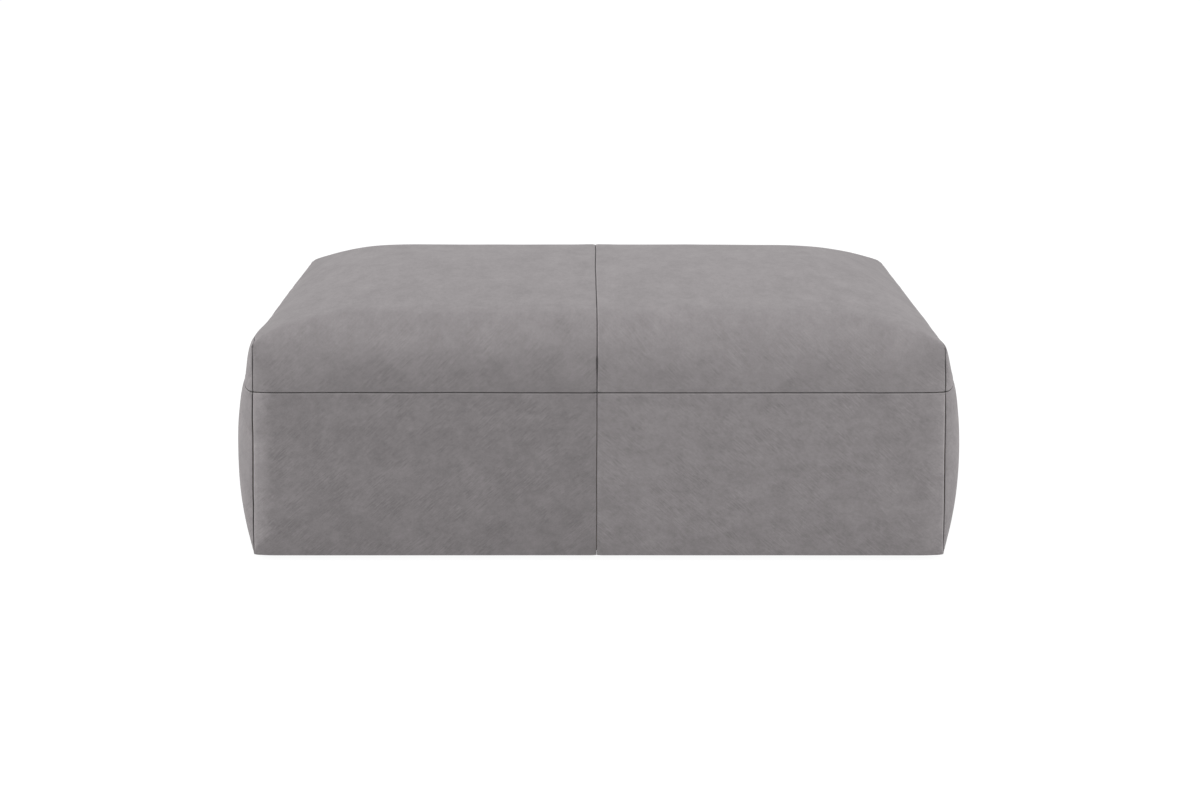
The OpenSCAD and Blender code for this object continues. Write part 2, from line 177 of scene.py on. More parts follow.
def sideWidth(y, z, topZ):
    middle = cover["swellZ"]
    span = np.where(z < middle, middle - cover["bottom"], topZ - middle)
    away = np.clip(np.abs(z - middle) / span, 0, 1)
    along = np.abs(y) / cover["seamY"]
    corner = smooth((along - cover["cornerFrom"]) / cover["cornerOver"])
    power, late = (np.where(z < middle, below, mix(above, beside, corner)) for below, above, beside in zip(
        cover["swellBelow"], cover["swellAbove"], cover["swellCorner"]))
    up = (1 - away ** power) ** late
    power, late = cover["swellAcross"]
    across = (1 - np.clip(along, 0, 1) ** power) ** late
    return cover["seamX"] + cover["sideSwell"] * across * up


def lengths(points):
    steps = np.linalg.norm(np.diff(points, axis=0), axis=-1)
    return np.concatenate([[0], np.cumsum(steps)])


def resample(points, shares):
    along = lengths(points)
    return np.stack([np.interp(shares * along[-1], along, points[:, k]) for k in range(points.shape[1])], -1)


# Places along a length, close together at its sewn ends
def stations(length, step=cloth["step"], low=True):
    fine = fineSteps * min(1, cloth["fineShare"] * length / fineSteps[-1])
    first = fine if low else np.array([0])
    last = length - fine[::-1]
    count = max(1, round((last[0] - first[-1]) / step))
    middle = np.linspace(first[-1], last[0], count + 1)[1:-1]
    return np.concatenate([first, middle, last])


# Outline (y, z) over the seat at a distance x from the middle, from the front waist seam to the back one
def seatOutline(x, shares):
    fromEdge = cover["seamX"] - abs(x)
    share = rise(fromEdge, cover["topReach"], 3)
    top = mix(cover["edge"], cover["top"], share)
    face = faceDepth(x)
    angle = np.linspace(0, math.pi / 2, rawPoints["turn"])
    halves = []
    for radius, reach in zip((cover["earFront"], cover["earBack"]), cover["roundReach"]):
        full = rise(fromEdge, reach, 3)
        depth, height = mix(radius, cover["roundDepth"], full), mix(radius, cover["roundHeight"], full)
        turn = np.stack([-face + depth * (1 - np.cos(angle)), top - height + height * np.sin(angle)], -1)
        upright = np.linspace([-face, cover["waist"]], turn[0], rawPoints["upright"])
        halves.append(np.concatenate([upright[:-1], turn]))
    front, back = halves[0], halves[1][::-1] * [-1, 1]
    across = np.linspace(0, 1, rawPoints["across"])
    middle = mix(front[-1], back[0], across[:, None])
    middle[:, 1] += cover["crown"] * share * 4 * across * (1 - across)
    even = resample(np.concatenate([front, middle[1:-1], back]), np.linspace(0, 1, rawPoints["even"]))
    softening = rise(fromEdge, cover["softenReach"], 2)
    reach = mix(cover["softenEdge"], cover["soften"], softening) / (lengths(even)[-1] / (len(even) - 1))
    width = int(4 * reach)     # beyond it the kernel is next to nothing
    kernel = np.exp(-0.5 * (np.arange(-width, width + 1) / reach) ** 2)
    kernel /= kernel.sum()
    before = 2 * even[0] - even[width:0:-1]
    after = 2 * even[-1] - even[-2:-width - 2:-1]
    padded = np.concatenate([before, even, after])
    soft = np.stack([np.convolve(padded[:, k], kernel, "valid") for k in range(2)], -1)
    return resample(soft, shares)


def outward(points):
    return unit(np.cross(np.gradient(points, axis=1), np.gradient(points, axis=0)))


# Distance along the rows or columns of a grid from its first and to its last line
def spans(points, axis):
    steps = np.linalg.norm(np.diff(points, axis=axis), axis=-1)
    zero = np.zeros_like(np.take(steps, [0], axis))
    along = np.concatenate([zero, np.cumsum(steps, axis)], axis)
    return along, np.take(along, [-1], axis) - along


# Panels of the right and front quarter as grids of points: rows go up or over, columns go right or back

gap = cloth["seamGap"]
edgeLength = lengths(seatOutline(cover["seamX"], np.linspace(0, 1, 2 * rawPoints["even"])))[-1]
ear = cloth["earSeam"]
earPlaces = stations(ear, cloth["earStep"])
rowPlaces = np.concatenate([
    earPlaces, ear + stations(edgeLength - 2 * ear)[1:-1], edgeLength - ear + earPlaces])
rowShares = gap / edgeLength + (1 - 2 * gap / edgeLength) * rowPlaces / edgeLength
earRow = len(earPlaces) - 1
columnPlaces = gap + stations(cover["seamX"] - 2 * gap)
sideShares = (rowPlaces[earRow:len(rowPlaces) - earRow] - ear) / (edgeLength - 2 * ear)

# Heights of the lower panels: the folded edge, the end of its fold, and the rows from there to the waist
foldedLow = cover["bottom"] - cloth["hemDrop"]
uprightLow = foldedLow + cloth["foldRadius"]
uprights = uprightLow + stations(cover["waist"] - gap - uprightLow, low=False)[1:]


def makeTopPanel():
    rows = [np.insert(seatOutline(x, rowShares), 0, x, axis=1) for x in columnPlaces]
    return np.stack(rows, 1)


# Rows of the hem and of the fold under the frame: distance inwards from the face, height
def foldRows():
    radius, lines = cloth["foldRadius"], cloth["foldLines"]
    flat = [(inward, cover["bottom"] - cloth["hemDrop"] * float(smooth(1 - (inward - radius) / cloth["hem"])))
            for inward in np.linspace(cloth["hem"], radius, lines)[:-1]]
    turn = [(radius * (1 - math.cos(a)), foldedLow + radius * (1 - math.sin(a)))
            for a in np.linspace(math.pi / 2, 0, lines)]
    return flat + turn


def makeFrontPanel():
    x = columnPlaces
    face = faceDepth(x)
    rows = []
    for inward, z in foldRows():
        out = mix(face, cover["seamY"], inward / cloth["hem"]) - inward
        rows.append(np.stack([x * (1 - inward / cover["seamX"]), -out, np.full_like(x, z)], -1))
    rows += [np.stack([x, -face, np.full_like(x, z)], -1) for z in uprights]
    return np.array(rows)


def makeUpperSide(top):
    # its left, top and right edges are the top panel's last column
    line = top[:, -1, 1:]
    left, right = line[:earRow + 1] + [2 * gap, 0], line[:-earRow - 2:-1] - [2 * gap, 0]
    over = line[earRow:len(line) - earRow]
    u = sideShares[None, :, None]
    v = ((left[:, 1] - left[0, 1]) / (left[-1, 1] - left[0, 1]))[:, None, None]
    base = np.stack([mix(left[0, 0], right[0, 0], sideShares), np.full_like(sideShares, left[0, 1])], -1)
    over = np.stack([over[:, 0] * (left[-1, 0] / over[0, 0]), over[:, 1] - 2 * gap], -1)
    sides = mix(left[:, None], right[:, None], u)
    corners = mix(mix(base[0], base[-1], u), mix(over[0], over[-1], u), v)
    flat = sides + mix(base[None], over[None], v) - corners
    topZ = np.broadcast_to(over[None, :, 1] + 2 * gap, flat.shape[:2])
    x = sideWidth(flat[..., 0], flat[..., 1], topZ)
    return np.concatenate([x[..., None], flat], -1)


def makeLowerSide(upper):
    y = upper[0, :, 1]
    foot = sideWidth(y, np.full_like(y, uprightLow), cover["edge"])
    rows = []
    for inward, z in foldRows():
        out = mix(foot, cover["seamX"], inward / cloth["hem"]) - inward
        rows.append(np.stack([out, y * (1 - inward / cover["seamY"]), np.full_like(y, z)], -1))
    for z in uprights:
        level = np.full_like(y, z)
        rows.append(np.stack([sideWidth(y, level, cover["edge"]), y, level], -1))
    return np.array(rows)


topPanel = makeTopPanel()
frontPanel = makeFrontPanel()
upperSide = makeUpperSide(topPanel)
lowerSide = makeLowerSide(upperSide)

# Directions out of the seams, halfway between the two cloths that meet there
topOut, frontOut = outward(topPanel), outward(frontPanel)
upperOut, lowerOut = outward(upperSide), outward(lowerSide)
near = 4     # lines in from an edge where a cloth's direction is taken
far = -1 - near
sideRound = np.concatenate([upperOut[:-1, near], upperOut[far, :], upperOut[-2::-1, far]])
edgeOut = unit(topOut[:, far] + sideRound)
cornerOut = unit(frontOut[:, far] + lowerOut[:, near])
middleTop = unit(topOut[:, 0] * [0, 1, 1])
middleFront = unit(frontOut[:, 0] * [0, 1, 1])
waistFront = unit((topOut[near] + frontOut[far]) * [1, 1, 0])
waistBack = waistFront * [1, -1, 1]
waistSide = unit(upperOut[near] + lowerOut[far])

foldLine = len(foldRows()) - 1     # the first upright row of the lower panels

quarter = {
    "top": {"points": topPanel, "firstRow": waistFront, "lastRow": waistBack, "firstColumn": middleTop,
            "lastColumn": edgeOut, "lowest": 0},
    "front": {"points": frontPanel, "firstRow": None, "lastRow": waistFront, "firstColumn": middleFront,
              "lastColumn": cornerOut, "lowest": foldLine},
    "upper": {"points": upperSide, "firstRow": waistSide, "lastRow": edgeOut[earRow:len(edgeOut) - earRow],
              "firstColumn": edgeOut[:earRow + 1], "lastColumn": edgeOut[:-earRow - 2:-1], "lowest": 0},
    "lower": {"points": lowerSide, "firstRow": None, "lastRow": waistSide, "firstColumn": cornerOut,
              "lastColumn": cornerOut * [1, -1, 1], "lowest": foldLine},
}


def mirrored(panel, axis):
    sign = np.ones(3)
    sign[axis] = -1
    flipped = {"lowest": panel["lowest"], "points": panel["points"][:, ::-1] * sign}
    for key in ("firstRow", "lastRow"):
        flipped[key] = None if panel[key] is None else panel[key][::-1] * sign
    for here, there in (("firstColumn", "lastColumn"), ("lastColumn", "firstColumn")):
        flipped[here] = panel[there] * sign
    return flipped


# Cloth coordinates in metres: across and up the cloth, and a number that keeps the panels' patterns apart
def clothPlaces(points, number):
    across = spans(points, 1)[0]
    steps = np.diff(spans(points, 0)[0], axis=0)
    level = np.abs(outward(points)[1:, :, 2])
    climb = np.cumsum(steps * mix(1, cloth["topStretch"], level ** 2), 0)
    up = np.concatenate([np.zeros_like(steps[:1]), climb])
    middle = across.shape[1] // 2
    apart = np.full_like(up, number * cloth["patternApart"])
    return np.stack([across - across[:, middle:middle + 1], up, apart], -1)


panels = {}
for name, kind, flips in (
        ("top_cover_right", "top", ()), ("top_cover_left", "top", (0,)),
        ("front_cover_right", "front", ()), ("front_cover_left", "front", (0,)),
        ("back_cover_right", "front", (1,)), ("back_cover_left", "front", (0, 1)),
        ("right_cover_upper", "upper", ()), ("left_cover_upper", "upper", (0,)),
        ("right_cover_lower", "lower", ()), ("left_cover_lower", "lower", (0,))):
    panel = dict(quarter[kind])
    panel["places"] = clothPlaces(panel["points"], len(panels) + 1)
    for axis in flips:
        places = panel["places"][:, ::-1]
        panel = mirrored(panel, axis)
        panel["places"] = places
    panels[name] = panel


# Soft noise through space, from -1 to 1, the same for every piece that shares its seed
def softNoise(points, size, seed):
    cells = 16
    table = np.random.default_rng(seed).uniform(-1, 1, (cells, cells, cells))
    cell = points / size + 100.0     # keeps it above zero
    low = np.floor(cell).astype(int)
    part = smooth(cell - low)
    total = 0
    for corner in range(8):
        pick = np.array([corner & 1, corner >> 1 & 1, corner >> 2 & 1])
        weight = np.prod(np.where(pick, part, 1 - part), axis=-1)
        at = (low + pick) % cells
        total = total + weight * table[at[..., 0], at[..., 1], at[..., 2]]
    return total


# Sum of soft noises, each given by its strength, size and seed
def waves(points, layers, turn=0):
    return sum(strength * softNoise(points, size, seed + turn) for strength, size, seed in layers)


# Cloth simulation of the panels, held along their seams and pushed out by the padding

simulation = {
    "spacing": 0.010,
    "frames": 20,
    "settings": {
        "quality": 5, "mass": 0.25, "tension_stiffness": 40, "compression_stiffness": 40,
        "shear_stiffness": 8, "bending_stiffness": 0.5, "use_pressure": True, "uniform_pressure_force": 0.5,
        "vertex_group_mass": "sewn", "vertex_group_shrink": "tight",
        "shrink_min": -0.006,     # cloth gathered along the seams, as a share of its length
        "shrink_max": 0,
    },
    "gatherReach": 0.045,   # how far the gathering reaches from a seam
    "most": 0.0010,         # how far a point may move out
    "least": 0.0007,        # and in, against the padding
    "broad": 0.15,          # share of the wide swelling that the firm padding lets through
    "broadReach": 6,        # what counts as wide, in simulated points
    "fineReach": 1,         # ripples narrower than this are smoothed away
    "stillEdge": 0.012,     # distance from a seam over which the movement comes in
}


def coarsePick(along, spacing):
    count = max(2, round(along[-1] / spacing))
    nearest = np.searchsorted(along, np.linspace(0, along[-1], count + 1) - 1e-9)
    return np.unique(nearest.clip(0, len(along) - 1))


# Weights that carry values from coarse stations to fine ones along one smooth curve
def splineWeights(fine, coarse):
    at = np.interp(fine, coarse, np.arange(len(coarse)))
    weights = np.zeros((len(fine), len(coarse)))
    base = np.floor(at).astype(int)
    t = at - base
    basis = [
        (1 - t) ** 3 / 6, (3 * t ** 3 - 6 * t ** 2 + 4) / 6,
        (-3 * t ** 3 + 3 * t ** 2 + 3 * t + 1) / 6, t ** 3 / 6]
    for k, value in enumerate(basis):
        np.add.at(weights, (np.arange(len(fine)), (base + k - 1).clip(0, len(coarse) - 1)), value)
    return weights


# Average of a field over its neighbours, a few points each way
def blurred(field, reach):
    count = 2 * reach + 1
    for axis in (0, 1):
        size = field.shape[axis]
        padded = np.pad(field, [(reach, reach) if k == axis else (0, 0) for k in (0, 1)], "edge")
        field = sum(np.take(padded, range(k, k + size), axis) for k in range(count)) / count
    return field


# Movement of the simulated cloth that the firm padding allows
def allowed(grid, moved):
    out = outward(grid)
    push = (moved * out).sum(-1)
    wide = blurred(push, simulation["broadReach"])
    push = push - wide * (1 - simulation["broad"])
    limit = np.where(push > 0, simulation["most"], simulation["least"])
    return out * blurred(limit * np.tanh(push / limit), simulation["fineReach"])[..., None]


# Quads between the points of a grid, facing outwards
def gridFaces(index):
    corners = (index[:-1, :-1], index[:-1, 1:], index[1:, 1:], index[1:, :-1])
    return np.stack(corners, -1).reshape(-1, 4)


# Runs the simulation and gives how far each point moves
def runCloth(verts, faces, held, snug):
    mesh = bpy.data.meshes.new("simulated_cloth")
    mesh.from_pydata(verts, [], faces)
    body = bpy.data.objects.new("simulated_cloth", mesh)
    scene.collection.objects.link(body)
    body.vertex_groups.new(name="sewn").add(held, 1.0, "REPLACE")
    tight = body.vertex_groups.new(name="tight")
    for number, share in enumerate(snug):
        tight.add([number], share, "REPLACE")
    modifier = body.modifiers.new("cloth", "CLOTH")
    for key, value in simulation["settings"].items():
        setattr(modifier.settings, key, value)
    modifier.settings.effector_weights.gravity = 0
    modifier.point_cache.frame_start = 1
    modifier.point_cache.frame_end = simulation["frames"]
    for number in range(1, simulation["frames"] + 1):
        scene.frame_set(number)
    settled = body.evaluated_get(bpy.context.evaluated_depsgraph_get())
    moved = np.zeros(len(verts) * 3, np.float32)
    settled.data.vertices.foreach_get("co", moved)
    bpy.data.objects.remove(body)
    scene.frame_set(1)
    return moved.reshape(-1, 3) - np.array(verts)


def simulateCover():
    verts, faces, held, kept, snug = [], [], [], {}, []
    for name, panel in panels.items():
        points = panel["points"][panel["lowest"]:]
        along = spans(points, 0)[0][:, points.shape[1] // 2]
        across = spans(points, 1)[0][points.shape[0] // 2]
        rows, columns = (coarsePick(places, simulation["spacing"]) for places in (along, across))
        grid = points[np.ix_(rows, columns)]
        index = np.arange(grid.shape[0] * grid.shape[1]).reshape(grid.shape[:2]) + len(verts)
        kept[name] = (along, across, rows, columns, index)
        inside = np.zeros(index.shape, bool)
        inside[1:-1, 1:-1] = True
        held += index[~inside].tolist()
        reach = [np.minimum(*spans(grid, axis)) for axis in (0, 1)]
        snug += smooth(np.minimum(*reach) / simulation["gatherReach"]).ravel().tolist()
        verts += grid.reshape(-1, 3).tolist()
        faces += gridFaces(index).tolist()
    moved = runCloth(verts, faces, held, snug)
    size = np.linalg.norm(moved, axis=1)
    report(f"cloth moved {size.max() * 1000:.1f} mm at most, {size.mean() * 1000:.1f} mm on average")
    for name, (along, across, rows, columns, index) in kept.items():
        up, over = splineWeights(along, along[rows]), splineWeights(across, across[columns])
        part = allowed(np.array(verts)[index], moved[index])
        field = np.einsum("ri,ijk,cj->rck", up, part, over)
        edge = np.minimum.outer(np.minimum(along, along[-1] - along), np.minimum(across, across[-1] - across))
        field *= smooth(edge / simulation["stillEdge"])[..., None]
        panel = panels[name]
        panel["points"] = panel["points"].copy()
        panel["points"][panel["lowest"]:] += field


simulateCover()
report("cloth simulated")


# Sewing: how far a cloth rolls into its seam, over the ridge of the seam allowance
def seamDepth(distance, uneven):
    pullUneven, reachUneven, ridgeUneven = (1 + share * uneven for share in cloth["uneven"])
    radius = cloth["rollRadius"]
    inside = np.clip(radius - distance, 0, radius)
    roll = radius - np.sqrt(radius ** 2 - inside ** 2)
    pull = cloth["pull"] * pullUneven * np.exp(-(distance / (cloth["pullReach"] * reachUneven)) ** 2)
    ridge = cloth["ridge"] * ridgeUneven * np.exp(-((distance - cloth["ridgeAt"]) / cloth["ridgeWidth"]) ** 2)
    return roll + pull - ridge


# Distance of every point of a panel from each of its seams
def seamDistances(panel):
    keys = ("firstRow", "lastRow", "firstColumn", "lastColumn")
    distances = (*spans(panel["points"], 0), *spans(panel["points"], 1))
    return {key: distance for key, distance in zip(keys, distances) if panel[key] is not None}


def sew(panel):
    points = panel["points"]
    out = outward(points)
    uneven = waves(points, cloth["unevenWaves"])
    total = np.zeros_like(points)
    for key, distance in seamDistances(panel).items():
        seamOut = panel[key][None] if key.endswith("Row") else panel[key][:, None]
        share = smooth(1 - distance / cloth["turnReach"])[..., None]
        total -= unit(mix(out, seamOut, share)) * seamDepth(distance, uneven)[..., None]
    total *= mix(cloth["hemSeam"], 1, smooth((points[..., 2:] - cover["bottom"]) / cloth["hemSeamFade"]))
    size = np.linalg.norm(total, axis=-1, keepdims=True) / cloth["deepest"]
    return points + total / (1 + size ** 6) ** (1 / 6)


# The whole cover as it lies: the same soft waves for all panels, the left side a little higher and fuller,
# and the middle seam a little off the middle
def settle(points):
    x, y, z = (points[..., axis] for axis in range(3))
    above = z - cover["waist"]
    moved = points.copy()
    moved[..., 0] += cover["drift"] * (1 - np.clip(np.abs(x) / cover["seamX"], 0, 1) ** 2)
    moved[..., 0] *= 1 + cover["taper"] * (0.5 - z / cover["top"])
    lean = cover["lean"] * x / cover["seamX"] * (cover["leanDepth"] - y)
    moved[..., 2] -= lean * smooth(above / cover["leanFade"])
    left = np.clip(-x / cover["seamX"], 0, 1) ** 3
    (at, width), (end, over), (start, fade) = cover["fullAt"], cover["fullEnd"], cover["fullFade"]
    fuller = cover["fullLeft"] + cover["fullFront"] * np.exp(-((y + at) / width) ** 2)
    fuller *= 1 - smooth((-y - end) / over)
    moved[..., 0] -= fuller * left * smooth((above - start) / fade)
    hold = smooth(z / cover["waveFade"])
    for axis in range(3):
        moved[..., axis] += waves(points, cover["waves"], axis) * hold
    return moved


def linkMesh(name, verts, faces):
    mesh = bpy.data.meshes.new(name)
    mesh.from_pydata(verts, [], faces)
    mesh.shade_smooth()
    piece = bpy.data.objects.new(name, mesh)
    scene.collection.objects.link(piece)
    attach(piece, "root")
    return piece


# Closed solid between two grids of points with the same rows and columns, the outer one facing outwards.
# Fields give each point of the grid a number or a vector for the shaders.
def slab(name, outer, inner, fields=None):
    rows, columns = outer.shape[:2]
    index = np.arange(rows * columns).reshape(rows, columns)
    under = index + rows * columns
    faces = [gridFaces(index), np.roll(gridFaces(under)[:, ::-1], 1, axis=1)]
    for line, below, turned in ((index[:, 0], under[:, 0], False), (index[:, -1], under[:, -1], True),
                                (index[0], under[0], True), (index[-1], under[-1], False)):
        rim = np.stack([line[:-1], line[1:], below[1:], below[:-1]], -1)
        faces.append(rim[:, ::-1] if turned else rim)
    verts = np.concatenate([outer.reshape(-1, 3), inner.reshape(-1, 3)])
    piece = linkMesh(name, verts.tolist(), np.concatenate(faces).tolist())
    for key, values in (fields or {}).items():
        kind, slot = ("FLOAT_VECTOR", "vector") if values.ndim == 3 else ("FLOAT", "value")
        both = np.concatenate([values, values]).astype(np.float32).ravel()
        piece.data.attributes.new(key, kind, "POINT").data.foreach_set(slot, both)
    return piece


# Shader sums: a socket that takes part in Python expressions
class Wire:
    def __init__(self, finish, socket):
        self.finish = finish
        self.socket = socket

    def blend(self, operation, first, second):
        kind = self.socket.type
        if kind == "RGBA":
            settings = {"data_type": "RGBA", "blend_type": operation}
            return self.finish.node("Mix", settings, {0: 1.0, 6: first, 7: second}, 2)
        if kind == "VECTOR":
            return self.finish.node("VectorMath", {"operation": operation}, {0: first, 1: second})
        return self.finish.node("Math", {"operation": operation}, {0: first, 1: second})

    def __add__(self, other):
        return self.blend("ADD", self, other)

    def __radd__(self, other):
        return self.blend("ADD", other, self)

    def __sub__(self, other):
        return self.blend("SUBTRACT", self, other)

    def __rsub__(self, other):
        return self.blend("SUBTRACT", other, self)

    def __mul__(self, other):
        return self.blend("MULTIPLY", self, other)

    def __pow__(self, other):
        return self.blend("POWER", self, other)


# Shader nodes of one material or world
class Finish:
    def __init__(self, holder):
        self.holder = holder
        holder.use_nodes = True
        self.tree = holder.node_tree
        self.tree.nodes.clear()

    def add(self, kind, settings, sockets):
        made = self.tree.nodes.new("ShaderNode" + kind)
        for key, value in settings.items():
            setattr(made, key, value)
        for key, value in sockets.items():
            target = made.inputs[key]
            if isinstance(value, Wire):
                self.tree.links.new(value.socket, target)
            elif target.type == "RGBA" and len(value) == 3:
                target.default_value = (*value, 1)
            elif target.type == "VECTOR" and not hasattr(value, "__len__"):
                target.default_value = (value, value, value)
            else:
                target.default_value = value
        return made

    # Any node: its type, its settings, the values or links of its sockets, and which output is used
    def node(self, kind, settings, sockets, out=0):
        return Wire(self, self.add(kind, settings, sockets).outputs[out])

    def noise(self, place, scale, detail=2.0, rough=0.5):
        return self.node("TexNoise", {}, {
            "Vector": place, "Scale": scale, "Detail": detail, "Roughness": rough})

    def colour(self, dark, light, share):
        return self.node("Mix", {"data_type": "RGBA"}, {0: share, 6: dark, 7: light}, 2)

    def bump(self, strength, distance, height):
        return self.node("Bump", {}, {"Strength": strength, "Distance": distance, "Height": height})

    def sine(self, angle):
        return self.node("Math", {"operation": "SINE"}, {0: angle})

    # Place on the piece
    def place(self):
        return self.node("TexCoord", {}, {}, "Object")

    def end(self, shader, kind="OutputMaterial"):
        self.add(kind, {}, {"Surface": shader})
        return self.holder

    def surface(self, sockets):
        return self.end(self.node("BsdfPrincipled", {}, sockets))


def newFinish(name):
    return Finish(bpy.data.materials.new(name))


# Velvet of the cover

velvet = {
    "tone": (0.2790, 0.2610, 0.2655),
    "contrast": 0.205,         # light to dark across the whole pattern
    "suedeScale": 21.0,        # brushed mottling, per metre, from large clouds to fine flecks
    "suedeStretch": (0.88, 1.08, 1.0),
    "suedeDetail": 6.0,
    "suedeRough": 0.94,
    "suedeShare": 2.3,
    "strokes": (62.0, 520.0, 1.0),     # fine parallel brush strokes, per metre along and across
    "strokeTurn": 0.72,        # radians
    "strokeShare": 1.25,
    "patchScale": 24.0,        # patches with strokes, per metre
    "patchFrom": 0.36,         # where in their noise the strokes come in
    "patchTo": 0.62,           # and are full
    "pileScale": 1100.0,
    "pileHeight": 0.6,
    "strokeHeight": 0.8,
    "bumpStrength": 0.3,
    "bumpDistance": 0.0006,
    "roughness": 0.92,
    "specular": 0.12,
    "sheen": 0.16,
    "sheenRoughness": 0.38,
    "sheenTint": (1.0, 0.965, 0.975),
    "seamDark": 0.72,          # painted shade: how much the cloth darkens in a seam
    "seamDarkWidth": 0.0006,
    "seamDarkFull": 0.6,       # share of the width that is fully dark
    "seamDarkFade": 0.9,       # and over which it fades
    "earDark": 1.6,            # how much wider the painted seam shade is in the upright seams of the upper corners
    "earDepth": (0.008, 0.004),     # how far inside the front and back that starts, and over how much
    "earHeight": (0.02, 0.03),      # how far above the waist, and over how much
    "seamLight": 0.19,         # painted highlight: a pale edge beside a seam
    "seamLightAt": 0.0017,
    "seamLightWidth": 0.0008,
    "seamLightElse": 0.3,      # share of it beside the seams that paleEdges doesn't name
    "crossDark": 0.30,         # painted shade where seams cross
    "crossWidth": 0.006,
    "crossHeight": 0.0024,
    "tintLimits": (-0.9, 0.3),
    "paintedShadePower": 9,
    "bandReach": 0.039,        # painted highlight: a pale band beside the corner seams, as if the cloth turned away there
    "bandFade": 0.035,         # height over which it narrows to a point at the bottom
    "bandTurn": 0.80,          # radians by which the painted band counts the cloth as turned
}


def makeVelvet(name, brightness, paintedShadeDepth, mottling):
    finish = newFinish(name)
    place, facing, paintedSeamShading = (finish.node("Attribute", {"attribute_name": key}, {}, out) for key, out in (
        ("clothPlace", "Vector"), ("facing", "Fac"), ("paintedSeamShading", "Fac")))
    turned = finish.node("VectorRotate", {"rotation_type": "Z_AXIS"}, {
        "Vector": place, "Angle": velvet["strokeTurn"]})
    suede = finish.noise(
        place * velvet["suedeStretch"], velvet["suedeScale"], velvet["suedeDetail"], velvet["suedeRough"])
    strokes = finish.noise(turned * velvet["strokes"], 1.0, 1.0)
    area = finish.noise(place, velvet["patchScale"])
    patch = finish.node("MapRange", {"clamp": True}, {
        "Value": area, "From Min": velvet["patchFrom"], "From Max": velvet["patchTo"]})
    pile = finish.noise(place, velvet["pileScale"], 1.0)
    marks = (strokes - 0.5) * (patch * facing)
    pattern = (suede - 0.5) * velvet["suedeShare"] + marks * velvet["strokeShare"]
    share = 0.5 + pattern * mottling
    dark, light = (tuple(c * brightness * (1 + change) for c in velvet["tone"]) for change in (
        -velvet["contrast"], velvet["contrast"]))
    # painted shade where the cloth faces squarely out, standing in for the velvet's sheen; it is lighter
    # where the cloth turns away
    paintedFaceShade = 1 - (facing ** velvet["paintedShadePower"]) * paintedShadeDepth
    height = pile * velvet["pileHeight"] + marks * velvet["strokeHeight"]
    # The base colour carries painted light: painted shade where the cloth faces squarely out, and painted
    # shade and highlight at the seams
    return finish.surface({
        "Base Color": finish.colour(dark, light, share) * (paintedFaceShade * (1 + paintedSeamShading)),
        "Roughness": velvet["roughness"], "Specular IOR Level": velvet["specular"],
        "Sheen Weight": velvet["sheen"], "Sheen Roughness": velvet["sheenRoughness"],
        "Sheen Tint": velvet["sheenTint"],
        "Normal": finish.bump(velvet["bumpStrength"], velvet["bumpDistance"], height)})


# How squarely the cloth faces out of its panel, a mask for painted shade that stands in for the velvet's
# sheen: less over the round edges and in a painted pale band beside the corner seams
def paintedShadeFacing(points, sideways):
    facing = np.abs(outward(points)[..., sideways])
    if sideways == 0:
        return facing
    x, z = points[..., 0], points[..., 2]
    # painted highlight: a pale band beside the corner seams
    reach = velvet["bandReach"] * smooth((z - cover["bottom"]) / velvet["bandFade"]) + 1e-4
    turn = velvet["bandTurn"] * np.clip(1 - (cover["seamX"] - np.abs(x)) / reach, 0, 1)
    return facing * np.cos(turn)


# Painted shade in the seams and painted highlight beside them, from the distance to each seam of a panel
def seamShade(panel, pale, depth):
    y, z = panel["points"][..., 1], panel["points"][..., 2]
    (inside, over), (start, fade) = velvet["earDepth"], velvet["earHeight"]
    upright = smooth((np.abs(y) - cover["seamY"] + inside) / over)
    wider = 1 + velvet["earDark"] * upright * smooth((z - cover["waist"] - start) / fade)
    distances = seamDistances(panel)
    tint = np.zeros(y.shape)
    for key, distance in distances.items():
        width = velvet["seamDarkWidth"] * (wider if key.endswith("Column") else 1)
        faded = smooth((distance / width - velvet["seamDarkFull"]) / velvet["seamDarkFade"])
        # painted shade in the seam, standing in for the shadow in its groove
        dark = depth.get(key, 1) * velvet["seamDark"] * (1 - faded)
        # painted highlight beside the seam, where the rolled cloth would catch the light
        light = np.exp(-((distance - velvet["seamLightAt"]) / velvet["seamLightWidth"]) ** 2)
        tint += velvet["seamLight"] * light * pale.get(key, velvet["seamLightElse"]) - dark
    rows, columns = (
        np.minimum.reduce([distance for key, distance in distances.items() if key.endswith(kind)])
        for kind in ("Row", "Column"))
    # painted shade where seams cross
    crossing = np.exp(-(rows / velvet["crossHeight"]) ** 2 - (columns / velvet["crossWidth"]) ** 2)
    return (tint - velvet["crossDark"] * crossing).clip(*velvet["tintLimits"])


# Brightness of each panel, painted light and shade that differ from side to side, how much painted shade it
# gets where it faces squarely out, and how strong its mottling is
tones = {
    "top_cover_left": (0.97, 0.15, 0.80), "top_cover_right": (0.99, 0.06, 0.80),
    "front_cover_left": (1.12, 0.26, 1.0), "front_cover_right": (1.045, 0.10, 1.0),
    "back_cover_left": (1.045, 0.10, 1.0), "back_cover_right": (1.12, 0.26, 1.0),
    "left_cover_upper": (0.99, 0.03, 1.0), "left_cover_lower": (0.97, 0.03, 1.0),
    "right_cover_upper": (0.99, 0.03, 1.0), "right_cover_lower": (0.97, 0.03, 1.0),
}
# Seams beside which a panel shows the painted highlight most
paleEdges = {
    "front_cover_left": {"lastRow": 1.0, "firstColumn": 1.2},
    "front_cover_right": {"lastRow": 1.0, "lastColumn": 1.7},
    "back_cover_left": {"lastRow": 1.0, "firstColumn": 1.7},
    "back_cover_right": {"lastRow": 1.0, "lastColumn": 1.2},
    "top_cover_left": {"firstColumn": 1.0},
    "top_cover_right": {"firstColumn": 1.0, "lastColumn": 1.0},
    "left_cover_lower": {"lastRow": 1.0},
    "right_cover_lower": {"lastRow": 1.0},
}
